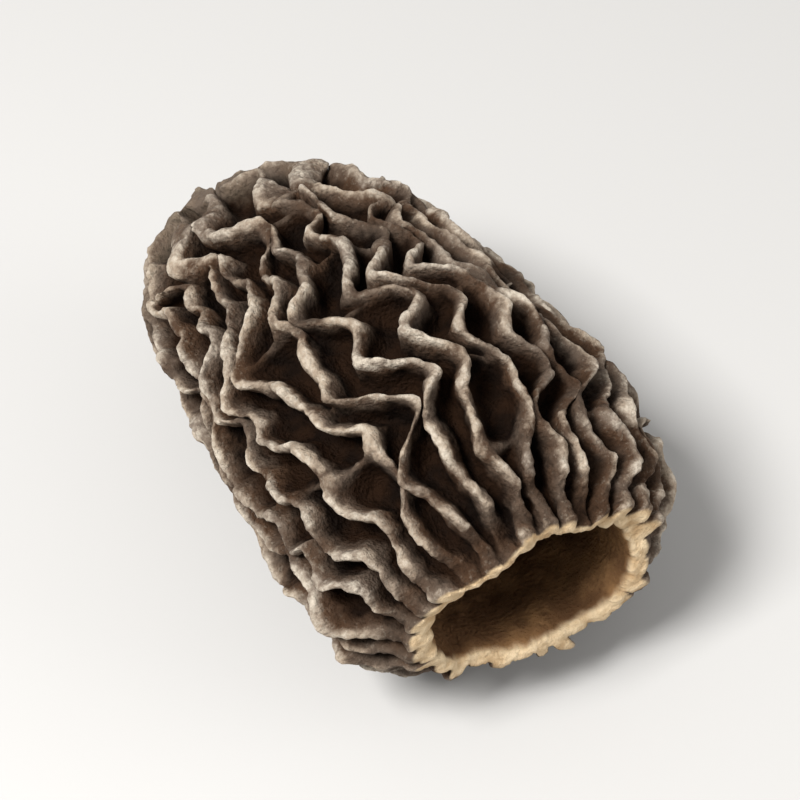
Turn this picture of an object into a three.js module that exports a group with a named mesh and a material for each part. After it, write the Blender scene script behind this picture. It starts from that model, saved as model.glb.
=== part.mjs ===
// A dried morel mushroom, cut off where the stem meets the cap and lying on its side.
// It grew as one piece: a hollow body whose outside is raised into a net of thin, wavy ribs.
// Millimetres, +Z up. The hollow runs along Y: the cut end faces -Y and the tip points to +Y.
// The origin is under the middle of the mushroom, on the surface that it lies on.

import * as THREE from "three";

// Size and section of the whole body
const FLATTENING = 0.9; // height over width, from drying on one side
const PRESSED_DEPTH = 0.55; // how far the underside is pressed flat where it lies
const BEND = 1.9; // how far the tip has drifted sideways
const DROOP = 1.0; // how far the tip has sunk

// Meridians as [distance from the cut end along Y, radius]
const PIT_FLOOR = [
  [0.0, 4.15], [1.2, 4.3], [2.6, 4.9], [4.4, 5.4], [7.2, 5.85], [10.5, 5.85],
  [14.5, 5.3], [18.2, 4.3], [21.0, 3.0], [22.6, 1.8], [23.3, 1.0],
];
const HOLLOW = [
  [0.0, 3.55], [1.5, 3.5], [3.0, 3.9], [5.5, 4.55], [9.0, 4.95], [12.5, 4.7],
  [16.5, 3.85], [19.2, 2.75], [20.9, 1.6], [21.6, 0.9],
];

// Ribs and the pits between them
const RIB_COUNT = 30; // round the cut end
const RIB_HEIGHT = 1.5;
const CREST_HALF_WIDTH = 0.2;
const WALL_RUN = 0.28; // from the edge of a crest to the foot of its wall
const OPEN_PIT_WIDTH = 1.3; // a pit narrower than this grows shallower
const ROW_STEP = 0.465; // distance between rings along the meridian
const HOLLOW_STEP = 1.7;
const RIB_RISE = 2.8; // ribs grow from folds at the cut end to full height over this length
const FOLD_SHARE = [0.06, 0.6]; // height of a rib at the cut end, as a share of a full one
const PLUMP_FOLDS = 1.8; // over this length the folds at the cut end are broader than ribs
const CLOSING_ROWS = 9; // a column narrows over this many rings before it closes
const OPEN_LEAST = 0.12; // width of a column on its last ring, as a share of an even one
const SEED = 20;

// A seeded draw between 0 and 1
function makeRandom(seed) {
  let state = seed;
  return () => {
    state = (state + 0x6d2b79f5) | 0;
    let t = Math.imul(state ^ (state >>> 15), 1 | state);
    t = (t + Math.imul(t ^ (t >>> 7), 61 | t)) ^ t;
    return ((t ^ (t >>> 14)) >>> 0) / 4294967296;
  };
}

const TURN = 2 * Math.PI;
const smooth = (low, high, x) => THREE.MathUtils.smoothstep(x, low, high);
const bump = (x, width) => Math.exp(-((x / width) ** 2));
const wrapAngle = (angle) => Math.atan2(Math.sin(angle), Math.cos(angle));
const wave = (s, length, phase) => Math.sin((TURN * s) / length + phase);

// Rings along a meridian, each with its radius, its place along Y and its outward direction
function ringsAlong(meridian, step) {
  const curve = new THREE.SplineCurve(meridian.map(([y, r]) => new THREE.Vector2(y, r)));
  const count = Math.round(curve.getLength() / step);
  return Array.from({ length: count + 1 }, (_, k) => {
    const point = curve.getPointAt(k / count);
    const tangent = curve.getTangentAt(k / count);
    const s = (k / count) * curve.getLength();
    return { y: point.x, r: point.y, outY: -tangent.y, outR: tangent.x, s };
  });
}

// The shrunken cross-section: a round one pushed in and out along its length
function shrinkage(angle, y) {
  const nearCut = 1 - smooth(0, 7, y);
  const kidney = nearCut
    * (-0.12 * bump(wrapAngle(angle - 1.1), 0.45) - 0.06 * bump(wrapAngle(angle + 1.3), 0.35));
  const oval = 0.06 * Math.cos(2 * angle - 0.3) * nearCut;
  const lobes = 0.035 * Math.cos(2 * angle + 0.5 + 0.15 * y) + 0.03 * Math.cos(3 * angle + 2.2 - 0.2 * y);
  const sunkenSide = -0.09 * bump(wrapAngle(angle - 0.6), 0.4) * bump(y - 11, 3.2);
  const sunkenTop = -0.1 * bump(wrapAngle(angle - 2.2), 0.4) * bump(y - 14.5, 2.6);
  const swollen = 0.06 * bump(wrapAngle(angle - 1.7), 0.5) * bump(y - 8, 2.6);
  return 1 + kidney + oval + lobes + sunkenSide + sunkenTop + swollen;
}

// From the round body (radius, angle, Y) to the bent and flattened one
function place(r, angle, y) {
  const radius = r * shrinkage(angle, y);
  const along = smooth(6, 28, y);
  const waveAtCut = (1 - smooth(0, 3, y)) * (0.22 * Math.sin(2 * angle + 0.4) + 0.12 * Math.sin(5 * angle));
  return new THREE.Vector3(
    radius * Math.cos(angle) - BEND * along,
    y + waveAtCut,
    radius * Math.sin(angle) * FLATTENING - DROOP * along,
  );
}

// Ribs merge towards the tip: a column, the ground between two ribs, closes at its own row. Every
// other one closes past the middle, and half of the rest closes near the tip.
function closingRow(i, rowCount, random) {
  const spread = random();
  if (i === RIB_COUNT - 1) return Infinity;
  if (i % 2 === 1) return Math.round(rowCount * (0.56 + 0.24 * spread));
  if (i % 4 === 2) return Math.round(rowCount * (0.85 + 0.09 * spread));
  return Infinity;
}

// A column and the rib at its start, with what is its own about them
function makeColumns(random, rowCount) {
  return Array.from({ length: RIB_COUNT }, (_, i) => {
    const column = {
      closesAt: closingRow(i, rowCount, random),
      fold: THREE.MathUtils.lerp(...FOLD_SHARE, random() ** 1.8),
      swayPhases: [random() * TURN, random() * TURN],
      swayLengths: [3.2 + 1.8 * random(), 2.1 + 0.6 * random()],
      heightPhases: [random() * TURN, random() * TURN],
      leanPhase: random() * TURN,
      crossings: [],
    };
    let row = 5 + Math.round(7 * random());
    while (row < rowCount - 3) {
      column.crossings.push({ row, touching: random() < 0.6, slant: Math.round(2 * random() - 1) });
      row += 6 + Math.round(5 * random());
    }
    return column;
  });
}

// How far a rib strays from its even place, in columns: partly with its neighbours, partly alone
function ribSway(column, i, s, length) {
  const angle = (TURN * i) / RIB_COUNT;
  const together = 0.2 * wave(s, 3.4, 1.1 * Math.sin(angle) + 0.8 * Math.sin(2 * angle + 1));
  const alone = 0.18 * wave(s, column.swayLengths[0], column.swayPhases[0])
    + 0.13 * wave(s, column.swayLengths[1], column.swayPhases[1]);
  const calmAtTip = 1 - 0.4 * smooth(length - 13, length - 4, s);
  return smooth(0.8, 3.5, s) * calmAtTip * (together + alone);
}

// The places of all ribs on one ring, as angles that run on past a full turn for the first rib again
function ribAngles(columns, row, s, length) {
  const places = [ribSway(columns[0], 0, s, length)];
  let even = 0;
  let sway = places[0];
  columns.forEach((column, i) => {
    const rowsLeft = column.closesAt - row;
    const open = rowsLeft > 0 ? OPEN_LEAST + (1 - OPEN_LEAST) * Math.min(1, rowsLeft / CLOSING_ROWS) : 0;
    const next = (i + 1) % RIB_COUNT;
    sway = THREE.MathUtils.lerp(sway, ribSway(columns[next], next, s, length), open);
    even += open;
    places.push(even + sway);
  });
  columns.forEach((column, i) => {
    const pull = column.crossings
      .filter(({ touching }) => touching)
      .reduce((sum, crossing) => Math.max(sum, 0.42 * bump(row - crossing.row, 1.7)), 0);
    const gap = places[i + 1] - places[i];
    places[i] += pull * gap;
    places[i + 1] -= pull * gap;
  });
  places[0] = Math.max(places[0], places[RIB_COUNT] - even);
  places[RIB_COUNT] = places[0] + even;
  return places.map((at) => {
    const angle = (TURN * at) / even;
    return angle + 0.1 * smooth(1, 6, s) * Math.sin(angle + (TURN * s) / 11);
  });
}

function ribHeight(column, s, length) {
  const rise = column.fold + (1 - column.fold) * smooth(0, RIB_RISE, s);
  const fall = 1 - 0.6 * smooth(length - 6.5, length, s);
  const uneven = 1 + 0.11 * wave(s, 6, column.heightPhases[0]) + 0.09 * wave(s, 1.8, column.heightPhases[1]);
  return RIB_HEIGHT * rise * fall * uneven;
}

// How far a cross rib raises the ground of a column at its left foot (0) and its right foot (1)
function crossRise(column, row, side) {
  const crossed = column.crossings.some(
    (crossing) => !crossing.touching && row === crossing.row + crossing.slant * side,
  );
  return crossed ? 0.75 : 0;
}

const positions = [];
const triangles = [];

function addVertex(point) {
  positions.push(point.x, point.y, point.z);
  return positions.length / 3 - 1;
}

// An edge is better the shorter it is and the higher its ends stand, so it follows the ribs
function edgeCost(a, b) {
  const [from, to] = [a, b].map(({ index }) => new THREE.Vector3().fromArray(positions, index * 3));
  return from.distanceTo(to) - 0.5 * (a.height + b.height);
}

// Joins two closed rings whose vertices carry labels that run once round the ribs
function joinRings(lower, upper) {
  const at = (ring, i) => ring[i % ring.length];
  const label = (ring, i) => at(ring, i).label + RIB_COUNT * Math.floor(i / ring.length);
  let a = 0;
  let b = 0;
  while (a < lower.length || b < upper.length) {
    const [nextA, nextB] = [label(lower, a + 1), label(upper, b + 1)];
    let alongLower = nextA < nextB;
    if (Math.abs(nextA - nextB) < 1e-6) {
      alongLower = edgeCost(at(lower, a + 1), at(upper, b)) < edgeCost(at(lower, a), at(upper, b + 1));
    }
    if (a === lower.length) alongLower = false;
    if (b === upper.length) alongLower = true;
    const third = alongLower ? at(lower, a + 1) : at(upper, b + 1);
    triangles.push(at(lower, a).index, at(upper, b).index, third.index);
    if (alongLower) a += 1;
    else b += 1;
  }
}

function closeRing(ring, poleIndex, outward) {
  ring.forEach(({ index }, i) => {
    const next = ring[(i + 1) % ring.length].index;
    triangles.push(...(outward ? [index, poleIndex, next] : [index, next, poleIndex]));
  });
}

// The outside: on each ring every open column has the edges of its two crests and its two wall feet
function ribbedRing(ring, row, columns, length) {
  const angles = ribAngles(columns, row, ring.s, length);
  const made = [];
  columns.forEach((column, i) => {
    if (row >= column.closesAt) return;
    const next = columns[(i + 1) % RIB_COUNT];
    const heights = [ribHeight(column, ring.s, length), ribHeight(next, ring.s, length)];
    const mean = (heights[0] + heights[1]) / 2;
    const reach = ring.r + mean * ring.outR;
    const width = (angles[i + 1] - angles[i]) * reach;
    const plump = 1 - smooth(0, PLUMP_FOLDS, ring.s);
    const shoulder = Math.min(CREST_HALF_WIDTH * (1 + plump), (0.17 + 0.11 * plump) * width);
    const foot = Math.min(CREST_HALF_WIDTH + WALL_RUN, (0.34 + 0.08 * plump) * width);
    const shallow = 0.85 * (1 - smooth(0.15, OPEN_PIT_WIDTH, width));
    const ground = (side) => mean * Math.max(0.05, shallow, crossRise(column, row, side));
    const [lean, nextLean] = [column, next].map((rib) => 0.15 * wave(ring.s, 4.6, rib.leanPhase));
    [
      [0.12, shoulder + lean * heights[0], heights[0]],
      [0.35, foot, ground(0)],
      [0.65, width - foot, ground(1)],
      [0.88, width - shoulder + nextLean * heights[1], heights[1]],
    ].forEach(([label, arc, height]) => {
      const angle = angles[i] + arc / reach;
      const point = place(ring.r + height * ring.outR, angle, ring.y + height * ring.outY);
      made.push({ label: i + label, height, angle, index: addVertex(point) });
    });
  });
  return made;
}

// The hollow: smooth rings whose vertices stand behind the pits at the cut end
function hollowRing(ring, angles) {
  return angles.map((angle, i) => {
    const index = addVertex(place(ring.r, angle, ring.y));
    return { label: i + 0.5, height: 0, index };
  });
}

function buildMorel() {
  const outside = ringsAlong(PIT_FLOOR, ROW_STEP);
  const tip = outside[outside.length - 1];
  const columns = makeColumns(makeRandom(SEED), outside.length);
  const outerRings = outside.map((ring, row) => ribbedRing(ring, row, columns, tip.s));
  outerRings.slice(1).forEach((ring, k) => joinRings(outerRings[k], ring));
  closeRing(outerRings[outerRings.length - 1], addVertex(place(0, 0, tip.y + 0.45)), true);

  const inside = ringsAlong(HOLLOW, HOLLOW_STEP);
  const end = inside[inside.length - 1];
  const feet = outerRings[0].map(({ angle }) => angle);
  const angles = columns.map((_, i) => (feet[4 * i + 1] + feet[4 * i + 2]) / 2);
  const innerRings = inside.map((ring) => hollowRing(ring, angles));
  innerRings.slice(1).forEach((ring, k) => joinRings(ring, innerRings[k]));
  closeRing(innerRings[innerRings.length - 1], addVertex(place(0, 0, end.y + 0.3)), false);
  joinRings(innerRings[0], outerRings[0]);
}

// Presses the lowest crests flat and brings the underside to Z = 0, centred over the origin
function settle() {
  const heights = positions.filter((_, i) => i % 3 === 2);
  const level = Math.min(...heights) + PRESSED_DEPTH;
  const middle = [0, 1].map((axis) => {
    const values = positions.filter((_, i) => i % 3 === axis);
    return (Math.min(...values) + Math.max(...values)) / 2;
  });
  for (let i = 0; i < positions.length; i += 3) {
    positions[i] -= middle[0];
    positions[i + 1] -= middle[1];
    positions[i + 2] = Math.max(positions[i + 2], level) - level;
  }
}

buildMorel();
settle();

const geometry = new THREE.BufferGeometry();
geometry.setAttribute("position", new THREE.Float32BufferAttribute(positions, 3));
geometry.setIndex(triangles);
geometry.computeVertexNormals();

const morel = new THREE.Mesh(
  geometry,
  new THREE.MeshStandardMaterial({ color: 0x4f4137, roughness: 0.85, metalness: 0 }),
);
morel.name = "morel";

const part = new THREE.Group();
part.add(morel);

export default part;
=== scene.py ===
import math

import bpy
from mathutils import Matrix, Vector


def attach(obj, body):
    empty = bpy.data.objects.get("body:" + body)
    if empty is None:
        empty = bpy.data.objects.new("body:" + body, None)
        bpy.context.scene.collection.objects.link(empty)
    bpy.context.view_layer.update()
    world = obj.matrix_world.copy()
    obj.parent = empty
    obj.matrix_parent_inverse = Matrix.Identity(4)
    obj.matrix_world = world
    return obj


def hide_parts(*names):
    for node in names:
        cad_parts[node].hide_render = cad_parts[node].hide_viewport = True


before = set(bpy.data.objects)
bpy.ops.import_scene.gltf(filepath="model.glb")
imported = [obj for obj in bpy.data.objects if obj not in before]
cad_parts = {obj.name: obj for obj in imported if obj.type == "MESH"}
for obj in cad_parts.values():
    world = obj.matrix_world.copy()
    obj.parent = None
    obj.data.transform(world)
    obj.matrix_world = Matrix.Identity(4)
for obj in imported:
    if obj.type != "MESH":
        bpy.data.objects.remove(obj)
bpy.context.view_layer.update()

# THE MUSHROOM
# A small morel, cut off where the stem joined the cap and dried whole. Its hollow body is one
# skin of leathery flesh, raised outside into thin wavy ribs with dark pits between them. It
# shrank as it dried, so every crest and pit wall is crinkled, and its lowest crests are pressed flat.

MM = 0.001
FINENESS = 2  # times that each facet is split in four
ROUNDING_PASSES = 4
KEPT_SHARE = 0.68  # of the fine triangles, thinned where the skin is smooth
RIB_SHARPENING = 0.35
CRINKLE_SIZE = 0.6 * MM
CRINKLE_DEPTH = 0.085 * MM
WOBBLE_SIZE = 1.7 * MM
WOBBLE_REACH = 0.13 * MM
CUT_END = -11.3 * MM  # every point of the cut face lies beyond this
AXIS_HEIGHT = 6.65 * MM
TIP_DRIFT = -1.9 * MM  # the bent axis of the hollow, as the solid has it
TIP_DROOP = -1.0 * MM
BEND_FROM, BEND_TO = -6.1 * MM, 15.9 * MM
TIP = Vector((-1.84, 12.0, 5.65)) * MM
TIP_REACH = 3.6 * MM  # the ribs run out over this distance from the tip
TIP_EVENNESS = 0.85
RAGGED_REACH = 0.5 * MM  # a ragged point that reaches further from the skin around it is worn back
CREST_PASSES, RIB_PASSES, TIP_PASSES = 24, 40, 70  # blurs that even out crests, ribs and the tip
NOISE_GAIN = 4.0  # a noise keeps within a quarter of its middle, so this brings it to a named depth


def add(tree, kind, inputs=None, **settings):
    """Adds a node to a tree, sets it, and links or fills the named inputs."""
    node = tree.nodes.new(kind)
    for name, value in settings.items():
        setattr(node, name, value)
    for socket, value in (inputs or {}).items():
        if isinstance(value, bpy.types.NodeSocket):
            tree.links.new(value, node.inputs[socket])
        else:
            node.inputs[socket].default_value = value
    return node


def merged_copy(node, name):
    """The solid's loose triangles as one connected mesh."""
    places = {}
    corners = [
        places.setdefault(tuple(round(value, 7) for value in vertex.co), len(places))
        for vertex in node.data.vertices
    ]
    faces = [[corners[i] for i in face.vertices] for face in node.data.polygons]
    mesh = bpy.data.meshes.new(name)
    mesh.from_pydata(list(places), [], faces)
    made = bpy.data.objects.new(name, mesh)
    bpy.context.collection.objects.link(made)
    return made


def dried_flesh_tree(material):
    """Rounds the facets, sharpens the ribs, crinkles the skin, and marks crest height, hollow and cut."""
    tree = bpy.data.node_groups.new("dried flesh", "GeometryNodeTree")
    socket = tree.interface.new_socket
    socket("Geometry", in_out="INPUT", socket_type="NodeSocketGeometry")
    socket("Fineness", in_out="INPUT", socket_type="NodeSocketInt")
    socket("Rounding Passes", in_out="INPUT", socket_type="NodeSocketInt")
    for name in (
        "Rib Sharpening", "Crinkle Size", "Crinkle Depth", "Wobble Size", "Wobble Reach",
        "Tip Reach", "Ragged Reach",
    ):
        socket(name, in_out="INPUT", socket_type="NodeSocketFloat")
    socket("Geometry", in_out="OUTPUT", socket_type="NodeSocketGeometry")
    given = tree.nodes.new("NodeGroupInput").outputs

    def math_node(operation, first, second=0.0, third=0.0):
        inputs = {0: first, 1: second, 2: third}
        return add(tree, "ShaderNodeMath", inputs, operation=operation).outputs[0]

    def vector(operation, first, second=(0, 0, 0)):
        return add(tree, "ShaderNodeVectorMath", {0: first, 1: second}, operation=operation)

    def scaled(value, factor):
        inputs = {0: value, "Scale": factor}
        return add(tree, "ShaderNodeVectorMath", inputs, operation="SCALE").outputs[0]

    def blurred(value, passes, data_type="FLOAT_VECTOR"):
        node = add(tree, "GeometryNodeBlurAttribute", data_type=data_type)
        tree.links.new(value, node.inputs["Value"])
        if isinstance(passes, bpy.types.NodeSocket):
            tree.links.new(passes, node.inputs["Iterations"])
        else:
            node.inputs["Iterations"].default_value = passes
        return node.outputs["Value"]

    def moved(geometry, place):
        return add(tree, "GeometryNodeSetPosition", {"Geometry": geometry, "Position": place}).outputs[0]

    def shifted(geometry, offset):
        return add(tree, "GeometryNodeSetPosition", {"Geometry": geometry, "Offset": offset}).outputs[0]

    def stored(geometry, name, value, domain):
        return add(
            tree, "GeometryNodeStoreNamedAttribute", {"Geometry": geometry, "Name": name, "Value": value},
            data_type="FLOAT", domain=domain,
        ).outputs[0]

    def noise(size, detail, place):
        return add(
            tree, "ShaderNodeTexNoise",
            {"Vector": place, "Scale": math_node("DIVIDE", 1.0, size), "Detail": detail,
             "Roughness": 0.6},
        )

    position = tree.nodes.new("GeometryNodeInputPosition").outputs[0]
    normal = tree.nodes.new("GeometryNodeInputNormal").outputs[0]
    position_parts = add(tree, "ShaderNodeSeparateXYZ", {0: position}).outputs
    normal_parts = add(tree, "ShaderNodeSeparateXYZ", {0: normal}).outputs

    # The cut face is the only flat ground at that end that looks along the axis
    faces_out = math_node("LESS_THAN", normal_parts["Y"], -0.8)
    at_end = math_node("LESS_THAN", position_parts["Y"], CUT_END)
    geometry = stored(given["Geometry"], "cut", math_node("MULTIPLY", faces_out, at_end), "FACE")

    geometry = add(
        tree, "GeometryNodeSubdivideMesh", {"Mesh": geometry, "Level": given["Fineness"]}
    ).outputs[0]
    cut = add(tree, "GeometryNodeInputNamedAttribute", {"Name": "cut"}, data_type="FLOAT").outputs[0]
    geometry = stored(geometry, "cut", blurred(cut, 2, "FLOAT"), "POINT")
    geometry = moved(geometry, blurred(position, given["Rounding Passes"]))

    # The ribs run out into the blunt tip
    from_tip = vector("DISTANCE", position, TIP).outputs["Value"]
    tip = add(
        tree, "ShaderNodeMapRange",
        {"Value": from_tip, "From Min": given["Tip Reach"], "From Max": 0.0, "To Max": TIP_EVENNESS},
        interpolation_type="SMOOTHSTEP",
    ).outputs[0]
    evened = vector("SUBTRACT", blurred(position, TIP_PASSES), position).outputs[0]
    geometry = shifted(geometry, scaled(evened, tip))

    # Ribs stand a little sharper than the rounding leaves them
    relief = vector("SUBTRACT", position, blurred(position, CREST_PASSES)).outputs[0]
    away_from_cut = math_node("SUBTRACT", 1.0, blurred(cut, 12, "FLOAT"))
    strength = math_node("MULTIPLY", given["Rib Sharpening"], away_from_cut)
    geometry = shifted(geometry, scaled(relief, strength))

    # Drying pulled the ribs a little out of true and crinkled the skin
    wobble = noise(given["Wobble Size"], 1.0, position).outputs["Color"]
    wobble = vector("SUBTRACT", wobble, (0.5, 0.5, 0.5)).outputs[0]
    geometry = shifted(geometry, scaled(wobble, math_node("MULTIPLY", given["Wobble Reach"], NOISE_GAIN)))
    crinkle = math_node("SUBTRACT", noise(given["Crinkle Size"], 3.0, position).outputs[0], 0.5)
    crinkle = math_node("MULTIPLY", crinkle, math_node("MULTIPLY", given["Crinkle Depth"], NOISE_GAIN))
    geometry = shifted(geometry, scaled(normal, crinkle))

    # Ragged points are worn back towards the skin around them
    over = vector("SUBTRACT", position, blurred(position, RIB_PASSES)).outputs[0]
    reach = vector("LENGTH", over).outputs["Value"]
    kept = math_node("DIVIDE", given["Ragged Reach"], reach)
    worn = math_node("MAXIMUM", math_node("SUBTRACT", 1.0, kept), 0.0)
    geometry = shifted(geometry, scaled(over, math_node("MULTIPLY", worn, -1.0)))

    # Nothing sinks below the surface that the mushroom lies on
    settled = add(
        tree, "ShaderNodeCombineXYZ",
        {"X": position_parts["X"], "Y": position_parts["Y"],
         "Z": math_node("MAXIMUM", position_parts["Z"], 0.0)},
    ).outputs[0]
    geometry = moved(geometry, settled)

    # Height of the skin over its surroundings, in millimetres
    way_out = vector("NORMALIZE", blurred(normal, RIB_PASSES)).outputs[0]
    height = math_node("DIVIDE", vector("DOT_PRODUCT", over, way_out).outputs["Value"], MM)
    geometry = stored(geometry, "height", height, "POINT")

    # The hollow's skin looks towards the bent axis
    bend = add(
        tree, "ShaderNodeMapRange",
        {"Value": position_parts["Y"], "From Min": BEND_FROM, "From Max": BEND_TO},
        interpolation_type="SMOOTHSTEP",
    ).outputs[0]
    axis = add(
        tree, "ShaderNodeCombineXYZ",
        {"X": math_node("MULTIPLY", bend, TIP_DRIFT), "Y": position_parts["Y"],
         "Z": math_node("MULTIPLY_ADD", bend, TIP_DROOP, AXIS_HEIGHT)},
    ).outputs[0]
    from_axis = vector("NORMALIZE", vector("SUBTRACT", position, axis).outputs[0]).outputs[0]
    outward = vector("DOT_PRODUCT", way_out, from_axis).outputs["Value"]
    hollow = add(
        tree, "ShaderNodeMapRange", {"Value": outward, "From Min": 0.15, "From Max": -0.25},
        interpolation_type="SMOOTHSTEP",
    ).outputs[0]
    geometry = stored(geometry, "hollow", hollow, "POINT")

    geometry = add(tree, "GeometryNodeSetShadeSmooth", {"Geometry": geometry}).outputs[0]
    geometry = add(tree, "GeometryNodeRealizeInstances", {"Geometry": geometry}).outputs[0]
    geometry = add(
        tree, "GeometryNodeSetMaterial", {"Geometry": geometry, "Material": material}
    ).outputs[0]
    tree.links.new(geometry, tree.nodes.new("NodeGroupOutput").inputs["Geometry"])
    return tree


# Colours of the dried flesh, linear, and its grain. Its patterns are sized in millimetres.
# The pit colours are the flesh's own dark brown deepened by painted shade; the crest edge colour is real
# wear with a painted highlight
PIT_BLACK_AND_SHADE = (0.005, 0.0024, 0.0012, 1)
PIT_BROWN_AND_SHADE = (0.016, 0.007, 0.003, 1)
WALL_BROWN = (0.068, 0.037, 0.021, 1)
WALL_GREY = (0.105, 0.076, 0.056, 1)
CREST_GREY = (0.18, 0.14, 0.108, 1)
CREST_TAN = (0.33, 0.257, 0.188, 1)
CREST_EDGE_AND_HIGHLIGHT = (0.54, 0.47, 0.38, 1)
TIP_TAN = (0.25, 0.195, 0.14, 1)
DUST_GREY = (0.38, 0.33, 0.26, 1)
CUT_CREAM = (0.72, 0.56, 0.36, 1)
CUT_TAN = (0.48, 0.32, 0.17, 1)
HOLLOW_BROWN = (0.11, 0.055, 0.025, 1)
HOLLOW_OCHRE = (0.26, 0.14, 0.06, 1)
GRAIN_SIZE = 0.16
WRINKLE_DEPTH = 0.24 * MM
DRY_GLOSS = 0.06


def flesh_material():
    material = bpy.data.materials.new("dried morel flesh")
    material.use_nodes = True
    tree = material.node_tree
    tree.nodes.clear()

    def attribute(name):
        return add(tree, "ShaderNodeAttribute", attribute_name=name).outputs["Fac"]

    def noise(size_mm, detail, roughness=0.55):
        return add(
            tree, "ShaderNodeTexNoise",
            {"Vector": place, "Scale": 1 / size_mm, "Detail": detail, "Roughness": roughness},
        ).outputs["Fac"]

    def ranged(value, low, high):
        return add(
            tree, "ShaderNodeMapRange", {"Value": value, "From Min": low, "From Max": high},
            interpolation_type="SMOOTHSTEP",
        ).outputs[0]

    def calc(operation, first, second):
        return add(tree, "ShaderNodeMath", {0: first, 1: second}, operation=operation).outputs[0]

    def mix_colour(mask, low, high):
        node = add(tree, "ShaderNodeMix", data_type="RGBA")
        for socket, value in ((node.inputs[0], mask), (node.inputs[6], low), (node.inputs[7], high)):
            if isinstance(value, bpy.types.NodeSocket):
                tree.links.new(value, socket)
            else:
                socket.default_value = value
        return node.outputs[2]

    place = add(tree, "ShaderNodeTexCoord").outputs["Object"]
    place = add(tree, "ShaderNodeVectorMath", {0: place, "Scale": 1 / MM}, operation="SCALE").outputs[0]

    mottle = ranged(noise(3.2, 3), 0.36, 0.64)
    fine = noise(0.35, 4, 0.65)
    height = calc("ADD", attribute("height"), calc("MULTIPLY", calc("SUBTRACT", fine, 0.5), 0.35))

    # Pits, walls and crests, from low to high, over the flesh's own colours: painted shade darkens the
    # pits, a painted highlight pales the crests, and the worn edges are palest with real wear and painted
    # highlight
    pits_and_shade = mix_colour(ranged(noise(1.4, 3), 0.35, 0.65), PIT_BLACK_AND_SHADE, PIT_BROWN_AND_SHADE)
    walls = mix_colour(ranged(noise(2.1, 4), 0.35, 0.65), WALL_BROWN, WALL_GREY)
    crests_and_highlight = mix_colour(mottle, CREST_GREY, CREST_TAN)
    skin = mix_colour(ranged(height, -0.15, 0.28), pits_and_shade, walls)
    skin = mix_colour(ranged(height, 0.2, 0.4), skin, crests_and_highlight)
    # Worn edges: real wear on the highest crests, with a painted highlight there as well
    worn = calc("MULTIPLY", ranged(height, 0.3, 0.52), ranged(fine, 0.3, 0.7))
    skin = mix_colour(worn, skin, CREST_EDGE_AND_HIGHLIGHT)

    # The tip is paler, and pale dust lies on whatever stands up
    from_tip = add(
        tree, "ShaderNodeVectorMath", {0: place, 1: TIP / MM}, operation="DISTANCE"
    ).outputs["Value"]
    paled = calc("MULTIPLY", ranged(from_tip, 8, 2), ranged(height, -0.35, 0.1))
    tip = mix_colour(ranged(noise(1.1, 4), 0.35, 0.65), CREST_GREY, TIP_TAN)
    skin = mix_colour(calc("MULTIPLY", paled, 0.7), skin, tip)
    dust = calc("MULTIPLY", ranged(noise(0.16, 2), 0.56, 0.7), ranged(height, 0.0, 0.45))
    skin = mix_colour(calc("MULTIPLY", dust, 0.4), skin, DUST_GREY)

    # The hollow and the cut face
    inside = mix_colour(ranged(noise(1.8, 4), 0.35, 0.7), HOLLOW_BROWN, HOLLOW_OCHRE)
    cut = mix_colour(ranged(noise(0.6, 4), 0.3, 0.7), CUT_TAN, CUT_CREAM)
    colour = mix_colour(attribute("hollow"), skin, inside)
    colour = mix_colour(ranged(attribute("cut"), 0.25, 0.75), colour, cut)

    grains = add(
        tree, "ShaderNodeTexVoronoi", {"Vector": place, "Scale": 1 / GRAIN_SIZE}
    ).outputs["Distance"]
    wrinkles = calc("ADD", noise(0.3, 5, 0.72), calc("MULTIPLY", grains, 0.25))
    bump = add(
        tree, "ShaderNodeBump", {"Height": wrinkles, "Strength": 1.0, "Distance": WRINKLE_DEPTH}
    ).outputs[0]
    roughness = add(
        tree, "ShaderNodeMapRange",
        {"Value": fine, "From Min": 0.3, "From Max": 0.7, "To Min": 0.55, "To Max": 0.8},
    ).outputs[0]
    shader = add(
        tree, "ShaderNodeBsdfPrincipled",
        {"Base Color": colour, "Roughness": roughness, "Specular IOR Level": DRY_GLOSS, "Normal": bump},
    )
    tree.links.new(shader.outputs[0], add(tree, "ShaderNodeOutputMaterial").inputs["Surface"])
    return material


def grown_from(solid, tree, values, name):
    """Runs the tree on the solid's merged copy and keeps the result as a plain mesh."""
    modifier = solid.modifiers.new(tree.name, "NODES")
    modifier.node_group = tree
    sockets = {item.name: item.identifier for item in tree.interface.items_tree if item.in_out == "INPUT"}
    for label, value in values.items():
        modifier[sockets[label]] = value
    thinning = solid.modifiers.new("thinning", "DECIMATE")
    thinning.ratio = KEPT_SHARE
    bpy.context.view_layer.update()
    finished = bpy.data.meshes.new_from_object(solid.evaluated_get(bpy.context.evaluated_depsgraph_get()))
    finished.name = name
    solid.modifiers.clear()
    solid.data = finished
    return solid


morel = grown_from(
    merged_copy(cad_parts["morel"], "dried_morel"),
    dried_flesh_tree(flesh_material()),
    {
        "Fineness": FINENESS,
        "Rounding Passes": ROUNDING_PASSES,
        "Rib Sharpening": RIB_SHARPENING,
        "Crinkle Size": CRINKLE_SIZE,
        "Crinkle Depth": CRINKLE_DEPTH,
        "Wobble Size": WOBBLE_SIZE,
        "Wobble Reach": WOBBLE_REACH,
        "Tip Reach": TIP_REACH,
        "Ragged Reach": RAGGED_REACH,
    },
    "dried_morel",
)
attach(morel, "root")
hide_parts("morel")

# FLOOR, LIGHT AND CAMERA
# A plain pale surface, soft light from the upper left with a weak fill, and a camera that looks
# down on the lying mushroom, past its cut end to the tip.

FLOOR_REACH = 2  # metres each way
FLOOR_GREY = (0.47, 0.46, 0.445, 1)

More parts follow.
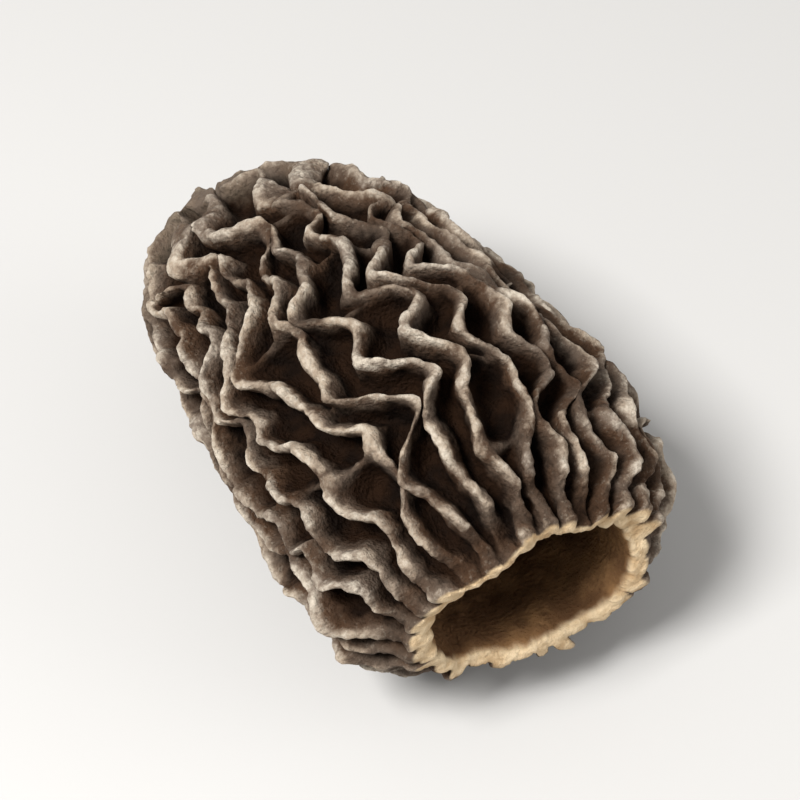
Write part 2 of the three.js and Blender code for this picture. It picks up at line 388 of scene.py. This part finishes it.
floor_mesh = bpy.data.meshes.new("floor")
floor_corners = [(x * FLOOR_REACH, y * FLOOR_REACH, 0) for x, y in ((-1, -1), (1, -1), (1, 1), (-1, 1))]
floor_mesh.from_pydata(floor_corners, [], [(0, 1, 2, 3)])
floor = bpy.data.objects.new("floor", floor_mesh)
bpy.context.collection.objects.link(floor)
floor_paint = bpy.data.materials.new("pale floor")
floor_paint.use_nodes = True
floor_paint.node_tree.nodes["Principled BSDF"].inputs["Base Color"].default_value = FLOOR_GREY
floor_paint.node_tree.nodes["Principled BSDF"].inputs["Roughness"].default_value = 0.9
floor_mesh.materials.append(floor_paint)

world = bpy.data.worlds.new("studio")
world.use_nodes = True
world.node_tree.nodes["Background"].inputs["Color"].default_value = (1, 1, 1, 1)
world.node_tree.nodes["Background"].inputs["Strength"].default_value = 0.5
bpy.context.scene.world = world

TARGET = Vector((0.3, -0.6, 5.4)) * MM


def soft_lamp(name, place_mm, width_mm, watts):
    lamp = bpy.data.lights.new(name, "AREA")
    lamp.size = width_mm * MM
    lamp.energy = watts
    holder = bpy.data.objects.new(name, lamp)
    holder.location = Vector(place_mm) * MM
    holder.rotation_euler = (TARGET - holder.location).to_track_quat("-Z", "Y").to_euler()
    bpy.context.collection.objects.link(holder)


soft_lamp("key", (-120, -30, 180), 70, 0.8)
soft_lamp("fill", (160, -120, 90), 140, 0.16)

CAMERA_AZIMUTH, CAMERA_ELEVATION, CAMERA_DISTANCE = math.radians(-27), math.radians(48), 84 * MM
camera = bpy.data.objects.new("camera", bpy.data.cameras.new("camera"))
camera.data.lens = 100
camera.data.clip_start = 1 * MM
towards_camera = Vector((
    math.sin(CAMERA_AZIMUTH) * math.cos(CAMERA_ELEVATION),
    -math.cos(CAMERA_AZIMUTH) * math.cos(CAMERA_ELEVATION),
    math.sin(CAMERA_ELEVATION),
))
camera.location = TARGET + towards_camera * CAMERA_DISTANCE
camera.rotation_euler = towards_camera.to_track_quat("Z", "Y").to_euler()
bpy.context.collection.objects.link(camera)
bpy.context.scene.camera = camera
bpy.context.scene.view_settings.view_transform = "Standard"
